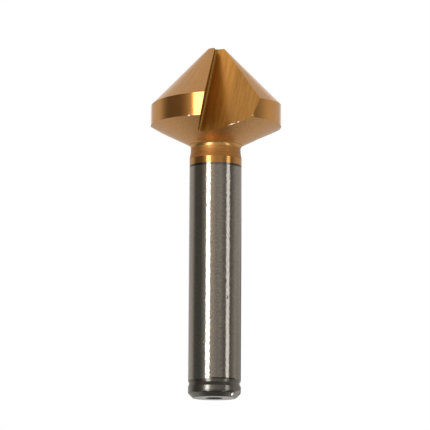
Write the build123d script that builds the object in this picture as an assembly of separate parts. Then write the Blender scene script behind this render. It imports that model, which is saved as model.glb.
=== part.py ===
from build123d import *
import os
from math import atan2, cos, degrees, radians, sin, tan

# Three-flute countersink with a 90 degree point and a parallel shank, ground from one bar.
# Millimetres. The tool stands on its shank end: the origin is the centre of the end face,
# and +Z runs along the axis to the cutting tip. It cuts clockwise seen from the shank.
# A bearing is an angle about the axis, measured from -Y toward +X.

# Blank
overall_length = 67.0
shank_diameter = 10.0
head_diameter = 25.0        # across the cutting corners
tip_diameter = 3.5          # across the small flat at the point
point_angle = 90.0          # included angle of the cutting cone
margin_height = 4.25        # cylindrical band between the two cones
back_angle = 26.0           # slope of the back cone, from square to the axis
grinding_stock = 0.8        # left on the turned head for relief grinding

# Neck between the back cone and the shank
neck_diameter = 9.5
neck_length = 1.25
neck_runout = 1.4           # length over which the neck opens to the shank
neck_top_fillet = 1.1
neck_runout_fillet = 5.0

# Shank end
end_chamfer = 0.9
end_edge_radius = 0.3       # where the chamfer meets the shank
groove_distance = 2.05      # from the end face to the near edge of the groove
groove_width = 1.2
groove_depth = 0.2          # of its V shape
groove_crease = 0.68        # from the near edge to the deepest line
centre_mouth_diameter = 3.35
centre_angle = 60.0
centre_pilot_diameter = 1.6
centre_pilot_depth = 3.6    # full diameter, measured from the end face
drill_point_angle = 118.0
nick_bearing = 75.0         # of a small flat knocked into the end chamfer
nick_depth = 0.32

# Flutes, spaced unequally so that the tool doesn't chatter
second_flute = 126.0        # bearing from the first flute to the second
third_flute = 235.0         # bearing from the first flute to the third
rake_offset = 0.25          # at the tip, how far the cutting face lies off the axis
root_setback = 0.05         # at the tip, how far the root stops short of the axis
side_lean = 10.3            # lean of the flute across the tool
depth_lean = 22.0           # how the root climbs away from the axis toward the shank
opening_angle = 66.0        # between the cutting face and the floor, square to the axis
root_fillet = 0.45

# Relief behind each cutting edge
edge_bearing = -11.0        # of the first cutting edge
land_angle = 67.0           # from a cutting edge back to its heel
cone_relief = 0.29          # drop of the cone at the heel's outer end; less toward the tip
margin_relief = 0.06        # drop of the margin at the heel

# Sizes that follow from those above
head_radius = head_diameter / 2
neck_radius = neck_diameter / 2
shank_radius = shank_diameter / 2
stock_radius = head_radius + grinding_stock
cone_slope = tan(radians(point_angle / 2))
back_slope = tan(radians(back_angle))
margin_top = overall_length - (head_radius - tip_diameter / 2) / cone_slope
margin_bottom = margin_top - margin_height
neck_top = margin_bottom - (head_radius - neck_radius) * back_slope
neck_bottom = neck_top - neck_length
shank_top = neck_bottom - neck_runout
runout_turn = atan2(abs(shank_radius - neck_radius), neck_runout)
neck_straight = neck_length - neck_top_fillet * tan(radians(90 - back_angle) / 2)
runout_fillet = min(neck_runout_fillet, 0.9 * neck_straight / tan(runout_turn / 2))
cone_height = head_radius / cone_slope
apex_height = margin_top + cone_height
flute_turns = (0, second_flute, third_flute)
land_sectors = (360 - third_flute, second_flute, third_flute - second_flute)


def turned_blank():
    """Shank, neck, back cone and a head that still carries its grinding stock."""
    groove_top = groove_distance + groove_width
    stock_bottom = margin_bottom + grinding_stock * back_slope
    with BuildPart() as blank:
        with BuildSketch(Plane.XZ) as section:
            with BuildLine():
                Polyline(
                    (shank_radius, groove_top),
                    (shank_radius - groove_depth, groove_distance + groove_crease),
                    (shank_radius, groove_distance),
                    (shank_radius, end_chamfer),
                    (shank_radius - end_chamfer, 0),
                    (0, 0),
                    (0, overall_length),
                    (stock_radius, overall_length),
                    (stock_radius, stock_bottom),
                    (neck_radius, neck_top),
                    (neck_radius, neck_bottom),
                    (shank_radius, shank_top),
                    close=True,
                )
            make_face()
            fillet(section.vertices().sort_by_distance((neck_radius, neck_top))[0], neck_top_fillet)
            fillet(section.vertices().sort_by_distance((neck_radius, neck_bottom))[0], runout_fillet)
            fillet(section.vertices().sort_by_distance((shank_radius, end_chamfer))[0], end_edge_radius)
        revolve(axis=Axis.Z)
    return blank.part


def eccentric(nominal_radius, drop):
    """Radius and offset of a circle that falls by a drop from the cutting edge to the heel."""
    lead = 90 - land_angle / 2
    eccentricity = drop / (2 * cos(radians(lead)))
    radius = nominal_radius - eccentricity * cos(radians(lead))
    bearing = edge_bearing + lead
    offset = Vector(sin(radians(bearing)), -cos(radians(bearing)), 0) * eccentricity
    return radius, offset


def relief_waste(sector_angle):
    """Stock ground off one land, so that its cone and margin fall away behind the cutting edge.

    Its sector runs back from the middle of the flute before the edge to that of the next flute.
    """
    base = margin_bottom - grinding_stock
    height = overall_length + grinding_stock - base
    upright = (Align.CENTER, Align.CENTER, Align.MIN)

    cone_radius, cone_offset = eccentric(head_radius, cone_relief * cone_slope)
    reach = 1.2 * (apex_height - base) / cone_height
    from_apex = (Align.CENTER, Align.CENTER, Align.MAX)
    cone = Cone(cone_radius * reach, 0, cone_height * reach, align=from_apex)
    tilt_axis = Axis((0, 0, 0), Vector(0, 0, -1).cross(cone_offset))
    cone = cone.rotate(tilt_axis, degrees(atan2(cone_offset.length, cone_height)))
    cone = Pos(0, 0, apex_height) * cone
    margin_radius, margin_offset = eccentric(head_radius, margin_relief)
    margin = Pos(0, 0, base) * Pos(margin_offset) * Cylinder(margin_radius, height, align=upright)

    last_bearing = edge_bearing + opening_angle / 2 - sector_angle
    on_axis = (Align.NONE, Align.NONE, Align.MIN)
    sector = Cylinder(2 * stock_radius, height, sector_angle, align=on_axis)
    sector = Pos(0, 0, base) * Rot(0, 0, last_bearing - 90) * sector
    return sector - (cone & margin)


def flute():
    """Path of the wheel that grinds one flute: flat cutting face, small root, flat floor."""
    reach = head_diameter
    path = Vector(tan(radians(side_lean)), tan(radians(depth_lean)), 1)
    root = Vector(-rake_offset, -root_setback, overall_length)
    face_edge = Vector(0, -reach, 0)
    floor_edge = Vector(sin(radians(opening_angle)), -cos(radians(opening_angle)), 0) * reach
    outline = Polyline(
        root,
        root + face_edge,
        root + face_edge + floor_edge,
        root + floor_edge,
        close=True,
    )
    section = make_face(outline)
    section = fillet(section.vertices().sort_by_distance(root)[0], root_fillet)
    entry = path * grinding_stock
    drop = grinding_stock + overall_length - neck_bottom
    return extrude(Pos(entry) * section, amount=path.length * drop, dir=-path)


def centre_hole():
    """Centre in the shank end that the blank is turned and ground on."""
    upright = (Align.CENTER, Align.CENTER, Align.MIN)
    mouth_radius = centre_mouth_diameter / 2
    pilot_radius = centre_pilot_diameter / 2
    mouth_depth = (mouth_radius - pilot_radius) / tan(radians(centre_angle / 2))
    point_depth = pilot_radius / tan(radians(drill_point_angle / 2))
    mouth = Cone(mouth_radius, pilot_radius, mouth_depth, align=upright)
    pilot = Cylinder(pilot_radius, centre_pilot_depth, align=upright)
    point = Pos(0, 0, centre_pilot_depth) * Cone(pilot_radius, 0, point_depth, align=upright)
    return mouth + pilot + point


def nick():
    """Flat where a knock has dressed the end chamfer down."""
    chamfer_middle = shank_radius - end_chamfer / 2
    side = 2 * end_chamfer
    block = Box(side, 4 * end_chamfer, side, align=(Align.MIN, Align.CENTER, Align.CENTER))
    block = Pos(-nick_depth, 0, 0) * block
    return Rot(0, 0, nick_bearing - 90) * Pos(chamfer_middle, 0, end_chamfer / 2) * Rot(0, 45, 0) * block


countersink_bit = turned_blank()
for turn, sector_angle in zip(flute_turns, land_sectors):
    countersink_bit -= Rot(0, 0, turn) * relief_waste(sector_angle)
    countersink_bit -= Rot(0, 0, turn) * flute()
countersink_bit -= centre_hole()
countersink_bit -= nick()

os.makedirs("parts", exist_ok=True)
export_step(countersink_bit, "parts/countersink_bit.step")
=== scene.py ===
from math import atan, atan2, cos, degrees, pi, radians, sin, tan
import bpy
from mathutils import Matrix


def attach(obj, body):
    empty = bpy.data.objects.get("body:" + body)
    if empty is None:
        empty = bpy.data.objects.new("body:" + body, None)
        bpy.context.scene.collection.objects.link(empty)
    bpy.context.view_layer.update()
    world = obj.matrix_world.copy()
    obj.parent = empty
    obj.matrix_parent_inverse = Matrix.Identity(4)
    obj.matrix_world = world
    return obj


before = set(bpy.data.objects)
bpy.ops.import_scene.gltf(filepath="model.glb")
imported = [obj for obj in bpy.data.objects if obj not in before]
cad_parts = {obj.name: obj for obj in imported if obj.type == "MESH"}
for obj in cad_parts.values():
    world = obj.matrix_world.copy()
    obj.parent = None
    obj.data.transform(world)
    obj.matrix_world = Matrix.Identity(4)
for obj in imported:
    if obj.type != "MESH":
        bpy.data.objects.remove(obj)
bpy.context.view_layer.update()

from types import SimpleNamespace

import bmesh
import bpy
from mathutils import Matrix, Vector
from mathutils.noise import noise as noise_at

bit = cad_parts["countersink_bit"]
MM = 0.001
WHITE = (1.0, 1.0, 1.0)

# ---------------------------------------------------------------- camera
CAMERA_DISTANCE = 595.4 * MM
CAMERA_ELEVATION = radians(-8.834)
CAMERA_ROLL = radians(0.342)
CAMERA_CLIP = 10 * MM
AIM_HEIGHT = 34 * MM
AIM_X = 215.306             # where the point aimed at falls in the picture before the roll, in pixels
AIM_Y = 219.844
FOCAL_PIXELS = 3132.73
IMAGE_SIZE = 430
SENSOR_MM = 36.0


def turned(first, second, angle):
    """Both unit vectors, turned in their plane: the first away from the second."""
    return first * cos(angle) - second * sin(angle), second * cos(angle) + first * sin(angle)


def add_camera():
    data = bpy.data.cameras.new("camera")
    camera = bpy.data.objects.new("camera", data)
    bpy.context.scene.collection.objects.link(camera)
    data.sensor_width = SENSOR_MM
    data.sensor_fit = "HORIZONTAL"
    data.lens = FOCAL_PIXELS / IMAGE_SIZE * SENSOR_MM
    data.clip_start = CAMERA_CLIP
    out = CAMERA_DISTANCE * cos(CAMERA_ELEVATION)
    place = Vector((0, -out, AIM_HEIGHT + CAMERA_DISTANCE * sin(CAMERA_ELEVATION)))
    forward = Vector((0, cos(CAMERA_ELEVATION), -sin(CAMERA_ELEVATION)))
    right = Vector((1, 0, 0))
    up = right.cross(forward)
    pan = atan((AIM_X - IMAGE_SIZE / 2) / FOCAL_PIXELS)
    tilt = atan((AIM_Y - IMAGE_SIZE / 2) / FOCAL_PIXELS)
    forward, right = turned(forward, right, pan)
    up, forward = turned(up, forward, tilt)
    up, right = turned(up, right, CAMERA_ROLL)
    turn = Matrix((right, up, -forward)).transposed().to_4x4()
    camera.matrix_world = Matrix.Translation(place) @ turn
    bpy.context.scene.camera = camera


# ---------------------------------------------------------------- node helpers
def wire(tree, kind, inputs=(), **settings):
    """Adds a node, sets its properties and fills its inputs with values or other sockets."""
    node = tree.nodes.new(kind)
    for name, value in settings.items():
        setattr(node, name, value)
    for key, value in dict(inputs).items():
        socket = node.inputs[key]
        if isinstance(value, bpy.types.NodeSocket):
            tree.links.new(value, socket)
        else:
            socket.default_value = value
    return node


def calc(tree, operation, a, b=0.0, c=0.0):
    return wire(tree, "ShaderNodeMath", {0: a, 1: b, 2: c}, operation=operation).outputs[0]


def times(tree, a, b):
    return calc(tree, "MULTIPLY", a, b)


def ramp(tree, value, low, high):
    """0 at low and 1 at high, smooth between them; low may be the larger."""
    node = wire(tree, "ShaderNodeMapRange", {"Value": value}, interpolation_type="SMOOTHSTEP")
    node.inputs["From Min"].default_value = low
    node.inputs["From Max"].default_value = high
    return node.outputs["Result"]


def window(tree, value, start, end, soft):
    """1 between start and end, falling to 0 over a soft width outside."""
    rise = ramp(tree, value, start - soft, start)
    fall = ramp(tree, value, end + soft, end)
    return times(tree, rise, fall)


def arc(tree, bearing, start, end, soft):
    """A window of bearings; the bearing is in radians and the window in degrees."""
    return window(tree, bearing, radians(start), radians(end), radians(soft))


def mix(tree, factor, a, b):
    node = wire(tree, "ShaderNodeMix", data_type="RGBA")
    for socket, value in ((node.inputs[0], factor), (node.inputs[6], a), (node.inputs[7], b)):
        if isinstance(value, bpy.types.NodeSocket):
            tree.links.new(value, socket)
        elif socket.type == "RGBA":
            socket.default_value = (*value, 1)
        else:
            socket.default_value = value
    return node.outputs[2]


def scaled(tree, vector, factor):
    """A colour or a vector times one number."""
    return wire(tree, "ShaderNodeVectorMath", {0: vector, "Scale": factor}, operation="SCALE").outputs[0]


def noise(tree, place, cells, detail=2.0, roughness=0.5):
    """Noise whose cells per unit differ along the three axes of the place given."""
    stretched = wire(tree, "ShaderNodeVectorMath", {0: place, 1: cells}, operation="MULTIPLY").outputs[0]
    inputs = {"Vector": stretched, "Scale": 1.0, "Detail": detail, "Roughness": roughness}
    return wire(tree, "ShaderNodeTexNoise", inputs).outputs["Fac"]


def centred(tree, value, amount):
    """Noise about 0.5 turned into a factor about 1."""
    swing = calc(tree, "MULTIPLY_ADD", value, 2.0, -1.0)
    return calc(tree, "MULTIPLY_ADD", swing, amount, 1.0)


def new_tree(owner):
    """Turns nodes on for a material or a world and empties its tree."""
    owner.use_nodes = True
    owner.node_tree.nodes.clear()
    return owner.node_tree


# ---------------------------------------------------------------- world
# Directions as seen from the tool, in degrees. An azimuth runs from -Y toward +X, and heights are
# elevations. A span, or heights, say where a panel starts and ends and how wide its soft edge
# outside is. A rise says where a panel starts to show and where it reaches its full level.
DARK_LEVEL = 0.115
FRONT_LEVEL = 0.33
FRONT_SPAN = (-34, 12, 34)
FILL_LEVEL = 0.15
FILL_SPAN = (30, 54, 24)
GLOW_LEVEL = 0.3            # added in a low, warm band of the front panel
GLOW_SPAN = (-20, -12, 14)
GLOW_HEIGHTS = (9.5, 16, 6)
SIDE_LEVEL = 0.43
LEFT_RISE = (-93, -123)
RIGHT_RISE = (62, 112)
DIM_SHARE = 0.28            # lost by the right-hand panels toward their foot
DIM_SPANS = ((12, 44, 14), (112, 145, 10))
DIM_HEIGHTS = (0, 6.3, 3.2)
FRONT_AZIMUTH = -5.0        # the middle of the front, from which the high panels are measured
TOP_LEVEL = 0.55            # high up, apart from the front
TOP_RISE = (30, 52)
TOP_AWAY = (44, 58)
PANEL_LEVEL = 0.78          # above and to the left, where the flute's floor looks
PANEL_SPAN = (-84, -50, 16)
PANEL_RISE = (36, 50)
FRONT_HIGH_LEVEL = 0.2
FRONT_HIGH_RISE = (14, 40)
FRONT_HIGH_AWAY = (54, 40)
LOW_LEVEL = 0.14            # toward the floor
LOW_RISE = (-40, -72)
LOW_SPARED_SHARE = 0.6      # how much of that the left side panel's foot is spared
LOW_SPARED_SPAN = (-128, -96, 14)
BACKDROP_LEVEL = 1.0
BACKDROP_RISE = (150, 170)  # on both sides
BACKDROP_HEIGHTS = (4, 34, 12)
FLAG_LEVEL = 0.12           # a dark card before the backdrop, on the right
FLAG_RISE = (146, 158)
FLAG_HEIGHTS = (1, 8, 2)
PLAIN_TINT = (1.0, 0.94, 0.87)
COOL_TINT = (0.97, 1.0, 0.9)
RUSTY_TINT = (1.25, 0.92, 0.8)
SHADOW_SPAN = (-84, -40, 18)    # the dark room on the left: cool below, rusty above
RUSTY_RISE = (9.2, 10.6)
WARM_TINT = (1.0, 0.84, 0.68)
WARM_SPAN = (-20, -8, 10)


def toward(tree, level, factor, target):
    """The level, moved toward a target by a factor."""
    return calc(tree, "MULTIPLY_ADD", factor, calc(tree, "SUBTRACT", target, level), level)


def studio_level(tree, azimuth, elevation, glow_height, backdrop):
    """How bright the studio is in each direction."""
    glow = times(tree, window(tree, azimuth, *GLOW_SPAN), glow_height)
    level = DARK_LEVEL
    for factor, amount in (
        (window(tree, azimuth, *FRONT_SPAN), FRONT_LEVEL),
        (window(tree, azimuth, *FILL_SPAN), FILL_LEVEL),
        (glow, GLOW_LEVEL),
        (ramp(tree, azimuth, *LEFT_RISE), SIDE_LEVEL),
        (ramp(tree, azimuth, *RIGHT_RISE), SIDE_LEVEL),
    ):
        level = calc(tree, "MULTIPLY_ADD", factor, amount, level)
    for span in DIM_SPANS:
        dim = times(tree, window(tree, azimuth, *span), window(tree, elevation, *DIM_HEIGHTS))
        level = toward(tree, level, times(tree, dim, DIM_SHARE), 0.0)
    away = calc(tree, "ABSOLUTE", calc(tree, "SUBTRACT", azimuth, FRONT_AZIMUTH))
    top = times(tree, ramp(tree, elevation, *TOP_RISE), ramp(tree, away, *TOP_AWAY))
    level = toward(tree, level, top, TOP_LEVEL)
    panel = times(tree, window(tree, azimuth, *PANEL_SPAN), ramp(tree, elevation, *PANEL_RISE))
    level = toward(tree, level, panel, PANEL_LEVEL)
    front_high = times(tree, ramp(tree, elevation, *FRONT_HIGH_RISE), ramp(tree, away, *FRONT_HIGH_AWAY))
    level = toward(tree, level, front_high, FRONT_HIGH_LEVEL)
    spared = window(tree, azimuth, *LOW_SPARED_SPAN)
    darkened = calc(tree, "MULTIPLY_ADD", spared, -LOW_SPARED_SHARE, 1.0)
    level = toward(tree, level, times(tree, ramp(tree, elevation, *LOW_RISE), darkened), LOW_LEVEL)
    level = toward(tree, level, backdrop, BACKDROP_LEVEL)
    flag = times(tree, ramp(tree, azimuth, *FLAG_RISE), window(tree, elevation, *FLAG_HEIGHTS))
    return toward(tree, level, flag, FLAG_LEVEL)


def studio_tint(tree, azimuth, elevation, glow_height, backdrop):
    """What colour the studio has in each direction."""
    shadow_tint = mix(tree, ramp(tree, elevation, *RUSTY_RISE), COOL_TINT, RUSTY_TINT)
    tint = mix(tree, window(tree, azimuth, *SHADOW_SPAN), PLAIN_TINT, shadow_tint)
    warm = times(tree, window(tree, azimuth, *WARM_SPAN), glow_height)
    tint = mix(tree, warm, tint, WARM_TINT)
    return mix(tree, backdrop, tint, WHITE)


def add_world():
    """The studio that the metal reflects, and the white background that the camera sees."""
    world = bpy.data.worlds.new("studio")
    bpy.context.scene.world = world
    tree = new_tree(world)
    direction = wire(tree, "ShaderNodeTexCoord").outputs["Generated"]
    x, y, z = wire(tree, "ShaderNodeSeparateXYZ", {0: direction}).outputs
    azimuth = calc(tree, "ARCTAN2", x, times(tree, y, -1.0))
    azimuth = times(tree, azimuth, 180 / pi)
    elevation = times(tree, calc(tree, "ARCSINE", z), 180 / pi)
    side = calc(tree, "ABSOLUTE", azimuth)
    glow_height = window(tree, elevation, *GLOW_HEIGHTS)
    backdrop = times(tree, ramp(tree, side, *BACKDROP_RISE), window(tree, elevation, *BACKDROP_HEIGHTS))
    level = studio_level(tree, azimuth, elevation, glow_height, backdrop)
    tint = studio_tint(tree, azimuth, elevation, glow_height, backdrop)
    studio = wire(tree, "ShaderNodeBackground", {"Color": tint, "Strength": level})
    seen = wire(tree, "ShaderNodeBackground", {"Color": (*WHITE, 1), "Strength": 1.0})
    path = wire(tree, "ShaderNodeLightPath")
    both = wire(
        tree,
        "ShaderNodeMixShader",
        {0: path.outputs["Is Camera Ray"], 1: studio.outputs[0], 2: seen.outputs[0]},
    )
    wire(tree, "ShaderNodeOutputWorld", {"Surface": both.outputs[0]})


# ---------------------------------------------------------------- lamps
STRIP_DISTANCE = 0.6
STRIP_EYE = 35 * MM         # height from which a strip's elevations are measured


def add_strip(name, azimuth, low, high, width, level):
    """A soft box that stands facing the axis.

    Its azimuth, its lower and upper elevation and its width are in degrees. Its power goes with
    its area, so that a level means the same brightness at any size.
    """
    data = bpy.data.lights.new(name, "AREA")
    lamp = bpy.data.objects.new(name, data)
    bpy.context.scene.collection.objects.link(lamp)
    bottom = STRIP_DISTANCE * tan(radians(low))
    top = STRIP_DISTANCE * tan(radians(high))
    data.shape = "RECTANGLE"
    data.size = 2 * STRIP_DISTANCE * tan(radians(width / 2))
    data.size_y = top - bottom
    data.energy = level * pi * data.size * data.size_y
    outward = Vector((sin(radians(azimuth)), -cos(radians(azimuth)), 0))
    place = outward * STRIP_DISTANCE + Vector((0, 0, STRIP_EYE + (top + bottom) / 2))
    facing = (-outward).to_track_quat("-Z", "Y")
    lamp.matrix_world = Matrix.Translation(place) @ facing.to_matrix().to_4x4()


# ---------------------------------------------------------------- floor
FLOOR_RADIUS = 0.5
FLOOR_SIDES = 96
FLOOR_DROP = 0.2 * MM       # below the shank's end
PAPER = (0.9, 0.9, 0.9)
PAPER_GLOW = 0.42           # keeps the paper pale where the studio is dark


def add_floor():
    """Pale paper with the tool's shadow on it, seen by the camera alone and only from above."""
    bpy.ops.mesh.primitive_circle_add(
        vertices=FLOOR_SIDES,
        radius=FLOOR_RADIUS,
        fill_type="NGON",
        location=(0, 0, -FLOOR_DROP),
    )
    floor = bpy.context.object
    floor.name = "floor"
    material = bpy.data.materials.new("floor_paper")
    tree = new_tree(material)
    paper = wire(tree, "ShaderNodeBsdfDiffuse", {"Color": (*PAPER, 1)})
    pale = wire(tree, "ShaderNodeEmission", {"Color": (*WHITE, 1), "Strength": PAPER_GLOW})
    paper = wire(tree, "ShaderNodeAddShader", {0: paper.outputs[0], 1: pale.outputs[0]})
    clear = wire(tree, "ShaderNodeBsdfTransparent")
    path = wire(tree, "ShaderNodeLightPath")
    from_below = wire(tree, "ShaderNodeNewGeometry").outputs["Backfacing"]
    seen = times(tree, path.outputs["Is Camera Ray"], calc(tree, "SUBTRACT", 1.0, from_below))
    both = wire(tree, "ShaderNodeMixShader", {0: seen, 1: clear.outputs[0], 2: paper.outputs[0]})
    wire(tree, "ShaderNodeOutputMaterial", {"Surface": both.outputs[0]})
    floor.data.materials.append(material)


# ---------------------------------------------------------------- regions of the bit
# Lengths are in millimetres, and heights are above the shank's end. A facing is the share of the
# face's unit normal that points up the axis.
HEAD_BOTTOM = 48.2
LAND_FACING = (0.6, 0.8)
LAND_REACH = 68.2           # radius plus height is larger on the cone, smaller in a flute
MARGIN_RADIUS = 12.25
MARGIN_FACING = 0.05
BACK_HEIGHTS = (47.8, 52.2)
BACK_FACING = -0.8
NECK_HEIGHTS = (45.5, 48.4)
NECK_RADIUS = 6.2
NECK_FACING = -0.86
TIP_FACING = 0.95           # of the small flat at the point, which isn't a flute
RAKE_FACING = 0.72          # least share of the normal that a cutting face turns sideways
SIDE_LEAN = 10.3            # degrees, lean of a flute across the tool
DEPTH_LEAN = 22.0           # degrees, climb of its root toward the shank
ROOT_AT_TIP = (-0.25, -0.05, 67.0)
FLUTE_TURNS = (0.0, 126.0, 235.0)
FLUTE_MIDDLE = 16.0         # bearing of the middle of the first flute
FLUTE_STEP = 31.0           # keeps the grain of the three flutes apart


def store(mesh, name, kind, domain, values):
    """Keeps one value per face or per corner in the mesh for the material to read."""
    attribute = mesh.attributes.new(name, kind, domain)
    key = "vector" if kind == "FLOAT_VECTOR" else "value"
    flat = [n for value in values for n in value] if kind == "FLOAT_VECTOR" else list(values)
    attribute.data.foreach_set(key, flat)


def nearest_flute(place):
    """Which of the three flutes a place is nearest to, by bearing."""
    bearing = degrees(atan2(place.x, -place.y)) - FLUTE_MIDDLE
    return min(range(3), key=lambda n: abs((bearing - FLUTE_TURNS[n] + 180) % 360 - 180))


def find_regions(place, normal, flute_normal):
    """Which regions a face belongs to, by where it lies and how it faces.

    The last is its normal after its flute has been turned to where the first flute stands.
    """
    radius = Vector((place.x, place.y)).length
    above = place.z > HEAD_BOTTOM
    land = above and LAND_FACING[0] < normal.z < LAND_FACING[1] and radius + place.z > LAND_REACH
    margin = above and radius > MARGIN_RADIUS and abs(normal.z) < MARGIN_FACING
    back = BACK_HEIGHTS[0] < place.z < BACK_HEIGHTS[1] and normal.z < BACK_FACING
    slim = radius < NECK_RADIUS and normal.z > NECK_FACING
    neck = NECK_HEIGHTS[0] < place.z < NECK_HEIGHTS[1] and not back and slim
    flute = above and not (land or margin or back or neck) and normal.z < TIP_FACING
    rake = flute and flute_normal.x > RAKE_FACING
    return {"land": land, "margin": margin, "back": back, "flute": flute, "rake": rake, "neck": neck}


def mark_regions(obj):
    """Marks each face's regions, and gives each corner a place along and across the grain."""
    mesh = obj.data
    marks = {"land": [], "margin": [], "back": [], "flute": [], "rake": [], "neck": []}
    grain = []
    path = Vector((tan(radians(SIDE_LEAN)), tan(radians(DEPTH_LEAN)), 1)).normalized()
    root = Vector(ROOT_AT_TIP)
    for face in mesh.polygons:
        place = face.center / MM
        step = nearest_flute(place)
        turn = Matrix.Rotation(-radians(FLUTE_TURNS[step]), 3, "Z")
        local = turn @ face.normal
        found = find_regions(place, face.normal, local)
        for name, value in found.items():
            marks[name].append(float(value))
        across = path.cross(local).normalized()
        for corner in face.loop_indices:
            point = mesh.vertices[mesh.loops[corner].vertex_index].co / MM
            if found["flute"]:
                point = turn @ point - root
                lift = point.dot(local) + FLUTE_STEP * step
                grain.append((point.dot(path), point.dot(across), lift))
            else:
                grain.append(tuple(point))
    for name, values in marks.items():
        store(mesh, name, "FLOAT", "FACE", values)
    store(mesh, "grain", "FLOAT_VECTOR", "CORNER", grain)


# ---------------------------------------------------------------- the bit's material
# Heights and depths are in millimetres, bearings in degrees from -Y toward +X. A span or an arc
# gives start, end and soft width, as in window.
COATING_EDGE = 44.33        # where the gold starts, above the shank's end
COATING_EDGE_SOFT = 0.05
BAND_TOP = 45.5             # of the bright band where the neck opens to the shank
BAND_SOFT = 0.15
FILLET_SPAN = (47.75, 48.15, 0.12)      # the bright line along the neck's top fillet
GROOVE_BOTTOM = 2.05
COLLAR_TOP = 3.25
COLLAR_SOFT = 0.05
EDGE_SHADE_SPAN = (0.75, 1.14, 0.06)      # the painted shade on the rounded edge where the chamfer starts
EDGE_SHADE_ARC = (-20, 44, 8)
END_HEIGHT = 0.001
HOLE_RADIUS = 1.68          # of the painted shade in the centre hole, a little wider and deeper than the hole
HOLE_DEPTH = 10
GROOVE_LINE_HEIGHT = 0.2          # of the dark line on the groove's upper edge
GROOVE_LINE_SOFT = 0.06
GROOVE_LINE_ARC = (-4, 48, 6)
COATING_LINE_BELOW = (0.36, 0.1, 0.16)      # of the dark line under the coating: foot, head, soft width
COATING_LINE_MIDDLE = 5             # bearing where that line is faintest
COATING_LINE_RISE = (15, 45)        # how far from there it grows
COATING_LINE_LEAST = 0.5
COATING_LINE_GROWTH = 0.45

STEEL = (0.375, 0.345, 0.305)
STEEL_COLLAR = (0.22, 0.215, 0.19)
# steel in painted shade: the groove, the rounded edge, the end face and the centre hole
STEEL_GROOVE_SHADE = (0.16, 0.15, 0.135)
STEEL_EDGE_SHADE = (0.1, 0.1, 0.09)
STEEL_END_SHADE = (0.11, 0.11, 0.104)
STEEL_HOLE_SHADE = (0.04, 0.04, 0.04)
DARK_TONE = (0.07, 0.06, 0.05)
COATING = (0.78, 0.38, 0.1)
COATING_GROUND = (0.76, 0.4, 0.13)
COATING_FLUTE = (0.73, 0.43, 0.097)
COATING_STREAK = (0.6, 0.32, 0.062)
# the cutting faces' gold in painted shade
COATING_RAKE_SHADE = (0.46, 0.19, 0.035)
COATING_FILLET = (0.76, 0.42, 0.13)
NECK_SHADE = 0.8            # how much of the coating's tone the turned neck keeps, as painted shade
# how much of the coating's tone the bright band keeps, as painted shade that dims its highlight
BAND_SHADE = 0.85
STREAK_RAMP = (0.32, 0.62)  # of the streaks' noise, from dark to light
FLUTE_TONE = 0.94           # how much of the coating's tone a flute's floor keeps
FLUTE_PAINTED_LIGHT = 0.38           # painted light, added to it in a strip beside the root
FLUTE_PAINTED_LIGHT_SPAN = (2.0, 4.2, 2.2)        # of that painted light strip, measured from the root
RAKE_TONE = 0.65            # how much of its tone the cutting face keeps near the neck, as painted shade
RAKE_GAIN = 0.35            # added to it toward the tip, where the painted shade is lighter
RAKE_RISE = (54, 60)
STAINS = (((2.05, -4.56, 21.7), 0.26), ((2.4, -4.39, 18.6), 0.28))    # place and reach
STAIN_STRENGTH = 0.75
SCUFF = (-2.62, -4.26, 9.3)
SCUFF_REACH = 1.1
SCUFF_GAIN = 3.0            # how much deeper the pits are there
SPOT_CORE = 0.3             # share of a spot's reach that has its full strength
SPOT_SQUEEZE = (1, 1, 0.5)  # a spot is twice as long along the axis

# Cells per millimetre along x, y and z
CLOUD_CELLS = (0.35, 0.35, 0.35)
SPECK_CELLS = (2.6, 2.6, 2.6)
RING_CELLS = (0.3, 0.3, 3.6)
PIT_CELLS = (2.6, 2.6, 2.2)
# Cells per millimetre along the grain, across it and off the face
STREAK_CELLS = (0.1, 1.9, 1.0)
FINE_STREAK_CELLS = (0.3, 6.0, 3.0)
# Cells per radian around the axis and per millimetre along it
GENERATOR_CELLS = (13.0, 0.07, 1.0)

# How far each noise moves the tone, as a share of it
CLOUD_SWING = 0.07
GENERATOR_SWING = 0.14
SPECK_SWING = 0.13
SPECK_SWING_BACK = 0.22     # added on the back cone
RING_SWING = 0.35
PIT_SWING = 0.3

STEEL_ROUGHNESS = 0.11      # each region below adds to it
COATING_ROUGHER = 0.02
LAND_ROUGHER = 0.22
BACK_ROUGHER = 0.26
FLUTE_ROUGHER = 0.3
NECK_ROUGHER = 0.4
MARGIN_ROUGHER = 0.05
BAND_ROUGHER = 0.04
FILLET_ROUGHER = 0.16
COLLAR_ROUGHER = 0.12
CLOUD_ROUGHER = 0.15        # a share of the whole, up and down
COAT_WEIGHT = 0.4
COAT_ROUGHNESS = 0.08
COAT_IOR = 1.5

PIT_DEPTH = 0.014
RING_DEPTH = 0.02
RING_DEPTH_BACK = 0.15      # a share of that, left by turning the back cone
STREAK_DEPTH = 0.006
SPECK_DEPTH = 0.006


def mark(tree, name):
    return wire(tree, "ShaderNodeAttribute", attribute_name=name).outputs["Fac"]


def spot(tree, place, centre, reach):
    """1 at a point of the surface, falling to 0 at a reach from it."""
    near = wire(tree, "ShaderNodeVectorMath", {0: place, 1: SPOT_SQUEEZE}, operation="MULTIPLY").outputs[0]
    target = tuple(c * s for c, s in zip(centre, SPOT_SQUEEZE))
    distance = wire(tree, "ShaderNodeVectorMath", {0: near, 1: target}, operation="DISTANCE")
    return ramp(tree, distance.outputs["Value"], reach, SPOT_CORE * reach)


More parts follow.
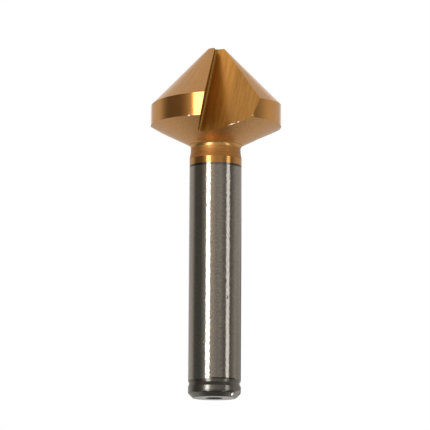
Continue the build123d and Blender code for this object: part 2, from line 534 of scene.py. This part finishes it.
def read_surface(tree):
    """What the parts of the material share: where a point lies, its regions and the noises."""
    s = SimpleNamespace()
    s.place = scaled(tree, wire(tree, "ShaderNodeTexCoord").outputs["Object"], 1 / MM)
    x, y, s.z = wire(tree, "ShaderNodeSeparateXYZ", {0: s.place}).outputs
    flat_place = wire(tree, "ShaderNodeCombineXYZ", {0: x, 1: y}).outputs[0]
    s.radius = wire(tree, "ShaderNodeVectorMath", {0: flat_place}, operation="LENGTH").outputs["Value"]
    s.bearing = calc(tree, "ARCTAN2", x, times(tree, y, -1.0))
    around = wire(tree, "ShaderNodeCombineXYZ", {0: s.bearing, 1: s.z}).outputs[0]
    grain = wire(tree, "ShaderNodeAttribute", attribute_name="grain").outputs["Vector"]
    across = wire(tree, "ShaderNodeSeparateXYZ", {0: grain}).outputs[1]
    s.from_root = calc(tree, "ABSOLUTE", across)

    s.land = mark(tree, "land")
    s.margin = mark(tree, "margin")
    s.back = mark(tree, "back")
    s.flute = mark(tree, "flute")
    s.rake = mark(tree, "rake")
    neck = mark(tree, "neck")
    s.ground = calc(tree, "ADD", s.land, s.back)
    s.gold = ramp(tree, s.z, COATING_EDGE - COATING_EDGE_SOFT, COATING_EDGE + COATING_EDGE_SOFT)
    s.steel = calc(tree, "SUBTRACT", 1.0, s.gold)
    s.fillet = times(tree, neck, window(tree, s.z, *FILLET_SPAN))
    s.turned_neck = calc(tree, "SUBTRACT", neck, s.fillet)
    s.band = times(tree, window(tree, s.z, COATING_EDGE, BAND_TOP, BAND_SOFT), s.gold)
    s.collar = window(tree, s.z, -1, COLLAR_TOP, COLLAR_SOFT)

    s.cloud = noise(tree, s.place, CLOUD_CELLS, detail=3.0)
    s.speck = noise(tree, s.place, SPECK_CELLS, detail=3.0, roughness=0.6)
    s.rings = noise(tree, s.place, RING_CELLS)
    s.pits = noise(tree, s.place, PIT_CELLS, roughness=0.6)
    s.streaks = noise(tree, grain, STREAK_CELLS, detail=3.0, roughness=0.7)
    s.fine_streaks = noise(tree, grain, FINE_STREAK_CELLS, roughness=0.6)
    s.generators = noise(tree, around, GENERATOR_CELLS, roughness=0.6)
    return s


def coating_color(tree, s):
    """Gold, with painted shade on the turned neck, the bright band and the cutting faces, a painted light
    strip beside each flute's root, and streaks in the flutes.
    """
    color = mix(tree, s.ground, COATING, COATING_GROUND)
    color = scaled(tree, color, centred(tree, s.cloud, CLOUD_SWING))
    streaked = mix(tree, ramp(tree, s.streaks, *STREAK_RAMP), COATING_STREAK, COATING_FLUTE)
    # Painted light: a flute's floor is lighter in a strip beside its root.
    shade = calc(tree, "MULTIPLY_ADD", window(tree, s.from_root, *FLUTE_PAINTED_LIGHT_SPAN), FLUTE_PAINTED_LIGHT, FLUTE_TONE)
    color = mix(tree, s.flute, color, scaled(tree, streaked, shade))
    # Painted shade on the cutting faces, deepest toward the neck.
    shade = calc(tree, "MULTIPLY_ADD", ramp(tree, s.z, *RAKE_RISE), RAKE_GAIN, RAKE_TONE)
    color = mix(tree, s.rake, color, scaled(tree, COATING_RAKE_SHADE, shade))
    color = mix(tree, s.fillet, color, COATING_FILLET)
    # Painted shade on the turned neck and on the bright band.
    lost = calc(tree, "MULTIPLY_ADD", s.turned_neck, 1 - NECK_SHADE, times(tree, s.band, 1 - BAND_SHADE))
    return scaled(tree, color, calc(tree, "SUBTRACT", 1.0, lost))


def steel_color(tree, s):
    """Ground steel, darker below the groove, with painted shade in the groove, on the rounded edge above
    the chamfer, on the end face and in the centre hole, a dark line on the groove's upper edge and two
    stains.
    """
    color = mix(tree, s.collar, STEEL, STEEL_COLLAR)
    # Painted shade in the groove.
    groove = window(tree, s.z, GROOVE_BOTTOM, COLLAR_TOP, COLLAR_SOFT)
    color = mix(tree, groove, color, STEEL_GROOVE_SHADE)
    # Painted shade on the rounded edge above the chamfer, on the front bearings.
    edge = times(tree, arc(tree, s.bearing, *EDGE_SHADE_ARC), window(tree, s.z, *EDGE_SHADE_SPAN))
    color = mix(tree, edge, color, STEEL_EDGE_SHADE)
    # Painted shade on the end face, which faces down.
    color = mix(tree, calc(tree, "LESS_THAN", s.z, END_HEIGHT), color, STEEL_END_SHADE)
    # Painted shade inside the centre hole.
    near_axis = calc(tree, "LESS_THAN", s.radius, HOLE_RADIUS)
    inside = times(tree, near_axis, calc(tree, "LESS_THAN", s.z, HOLE_DEPTH))
    color = mix(tree, inside, color, STEEL_HOLE_SHADE)
    color = scaled(tree, color, centred(tree, s.cloud, CLOUD_SWING))
    groove_line = window(tree, s.z, COLLAR_TOP, COLLAR_TOP + GROOVE_LINE_HEIGHT, GROOVE_LINE_SOFT)
    color = mix(tree, times(tree, arc(tree, s.bearing, *GROOVE_LINE_ARC), groove_line), color, DARK_TONE)
    for centre, reach in STAINS:
        stain = times(tree, spot(tree, s.place, centre, reach), STAIN_STRENGTH)
        color = mix(tree, stain, color, DARK_TONE)
    return color


def surface_color(tree, s):
    """Steel and coating with the dark line between them, and the marks of the grinding."""
    color = mix(tree, s.gold, steel_color(tree, s), coating_color(tree, s))
    from_middle = calc(tree, "ABSOLUTE", calc(tree, "SUBTRACT", s.bearing, radians(COATING_LINE_MIDDLE)))
    growth = ramp(tree, from_middle, *(radians(angle) for angle in COATING_LINE_RISE))
    strength = calc(tree, "MULTIPLY_ADD", growth, COATING_LINE_GROWTH, COATING_LINE_LEAST)
    foot, head, soft = COATING_LINE_BELOW
    line = window(tree, s.z, COATING_EDGE - foot, COATING_EDGE - head, soft)
    color = mix(tree, times(tree, strength, line), color, DARK_TONE)
    for pattern, swing in (
        (s.generators, times(tree, s.land, GENERATOR_SWING)),
        (s.speck, calc(tree, "MULTIPLY_ADD", s.back, SPECK_SWING_BACK, SPECK_SWING)),
        (s.rings, times(tree, s.turned_neck, RING_SWING)),
        (s.pits, times(tree, s.steel, PIT_SWING)),
    ):
        color = scaled(tree, color, centred(tree, pattern, swing))
    return color


def surface_roughness(tree, s):
    rough = calc(tree, "MULTIPLY_ADD", s.gold, COATING_ROUGHER, STEEL_ROUGHNESS)
    for region, rougher in (
        (s.land, LAND_ROUGHER),
        (s.back, BACK_ROUGHER),
        (s.flute, FLUTE_ROUGHER),
        (s.turned_neck, NECK_ROUGHER),
        (s.margin, MARGIN_ROUGHER),
        (s.band, BAND_ROUGHER),
        (s.fillet, FILLET_ROUGHER),
        (s.collar, COLLAR_ROUGHER),
    ):
        rough = calc(tree, "MULTIPLY_ADD", region, rougher, rough)
    return times(tree, rough, centred(tree, s.cloud, CLOUD_ROUGHER))


def surface_bump(tree, s):
    """Pits in the steel, rings on the neck, streaks in the flutes and specks on ground faces."""
    scuffed = calc(tree, "MULTIPLY_ADD", spot(tree, s.place, SCUFF, SCUFF_REACH), SCUFF_GAIN, 1.0)
    height = times(tree, calc(tree, "SUBTRACT", s.pits, 0.5), scuffed)
    height = times(tree, height, times(tree, s.steel, PIT_DEPTH))
    on_back = times(tree, s.back, RING_DEPTH_BACK * RING_DEPTH)
    ring_depth = calc(tree, "MULTIPLY_ADD", s.turned_neck, RING_DEPTH, on_back)
    for pattern, depth in (
        (s.rings, ring_depth),
        (s.fine_streaks, times(tree, s.flute, STREAK_DEPTH)),
        (s.speck, times(tree, s.ground, SPECK_DEPTH)),
    ):
        height = calc(tree, "MULTIPLY_ADD", pattern, depth, height)
    return wire(tree, "ShaderNodeBump", {"Height": height, "Strength": 1.0, "Distance": MM}).outputs[0]


def bit_material():
    """Ground steel and, from the coating's edge up, titanium nitride on the same metal."""
    material = bpy.data.materials.new("ground_steel")
    tree = new_tree(material)
    s = read_surface(tree)
    bump = surface_bump(tree, s)
    inputs = {
        "Base Color": surface_color(tree, s),
        "Roughness": surface_roughness(tree, s),
        "Metallic": 1.0,
        "Normal": bump,
        "Coat Weight": COAT_WEIGHT,
        "Coat Roughness": COAT_ROUGHNESS,
        "Coat IOR": COAT_IOR,
        "Coat Normal": bump,
    }
    shader = wire(tree, "ShaderNodeBsdfPrincipled", inputs)
    wire(tree, "ShaderNodeOutputMaterial", {"Surface": shader.outputs[0]})
    return material


# ---------------------------------------------------------------- burrs left by grinding and handling
KEY_FACING = Vector((-0.25, -0.93, -0.26))     # a surface that faces so mirrors the key strip
BURR_BARE = (0.95, 0.8, 0.6)
BURR_BRIGHT = (0.85, 0.83, 0.8)
BURR_COATED = (0.95, 0.62, 0.24)
BURR_CELLS = (6.0, 6.0, 6.0)        # per millimetre
BURR_SWING = 0.15
BURR_BUMP_STRENGTH = 0.3
BURR_BUMP_DEPTH = 0.01
BURR_RAGGED = 0.28          # how far the lens strays from an ellipsoid, as a share of its radius
BURR_RAGGED_CELLS = 1.7
BURR_SHAPE_SEED = 7.3


def burr_material(name, color, roughness):
    material = bpy.data.materials.new(name)
    tree = new_tree(material)
    place = scaled(tree, wire(tree, "ShaderNodeTexCoord").outputs["Object"], 1 / MM)
    fine = noise(tree, place, BURR_CELLS)
    tone = scaled(tree, color, centred(tree, fine, BURR_SWING))
    relief = {"Height": fine, "Strength": BURR_BUMP_STRENGTH, "Distance": BURR_BUMP_DEPTH * MM}
    bump = wire(tree, "ShaderNodeBump", relief).outputs[0]
    inputs = {"Base Color": tone, "Roughness": roughness, "Metallic": 1.0, "Normal": bump}
    shader = wire(tree, "ShaderNodeBsdfPrincipled", inputs)
    wire(tree, "ShaderNodeOutputMaterial", {"Surface": shader.outputs[0]})
    return material


def add_burr(name, start, end, width, thickness, material):
    """A ragged closed lens of metal from start to end, in millimetres, its flat side to the key strip."""
    start, end = Vector(start) * MM, Vector(end) * MM
    along = end - start
    out = (KEY_FACING - KEY_FACING.project(along)).normalized()
    side = along.normalized().cross(out)
    axes = Matrix((along / 2, side * width * MM / 2, out * thickness * MM / 2)).transposed()
    shift = Vector((BURR_SHAPE_SEED, len(name), 0))
    mesh = bpy.data.meshes.new(name)
    form = bmesh.new()
    bmesh.ops.create_icosphere(form, subdivisions=3, radius=1.0)
    for vert in form.verts:
        ragged = 1 + BURR_RAGGED * noise_at(vert.co * BURR_RAGGED_CELLS + shift)
        vert.co = (start + end) / 2 + axes @ (vert.co * ragged)
    bmesh.ops.recalc_face_normals(form, faces=form.faces)
    form.to_mesh(mesh)
    form.free()
    mesh.shade_smooth()
    mesh.materials.append(material)
    piece = bpy.data.objects.new(name, mesh)
    bpy.context.scene.collection.objects.link(piece)
    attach(piece, "root")


def add_burrs():
    bare = burr_material("burr_bare", BURR_BARE, roughness=0.34)
    bright = burr_material("burr_bright", BURR_BRIGHT, roughness=0.3)
    coated = burr_material("burr_coated", BURR_COATED, roughness=0.3)
    add_burr(
        "flute_burr_long",
        start=(2.25, -9.13, 50.56),
        end=(3.75, -9.62, 50.98),
        width=0.24,
        thickness=0.2,
        material=bare,
    )
    add_burr(
        "flute_burr_short",
        start=(3.95, -9.67, 51.06),
        end=(4.6, -9.83, 51.28),
        width=0.2,
        thickness=0.18,
        material=bare,
    )
    add_burr(
        "margin_burr",
        start=(-5.4, -11.25, 52.0),
        end=(-4.75, -11.52, 52.0),
        width=0.34,
        thickness=0.22,
        material=bare,
    )
    add_burr(
        "corner_burr",
        start=(6.66, -10.42, 52.14),
        end=(7.06, -10.2, 52.5),
        width=0.4,
        thickness=0.34,
        material=coated,
    )
    add_burr(
        "nick_burr",
        start=(3.12, -2.94, 0.17),
        end=(3.54, -3.32, 0.88),
        width=0.66,
        thickness=0.36,
        material=bright,
    )


add_camera()
add_world()
add_strip("key_strip", azimuth=-30.8, low=-50, high=16, width=17, level=4.2)
add_strip("side_strip", azimuth=58, low=-50, high=16, width=15, level=1.4)
add_floor()
add_burrs()
mark_regions(bit)
bit.data.materials[0] = bit_material()
bpy.context.scene.view_settings.view_transform = "Standard"
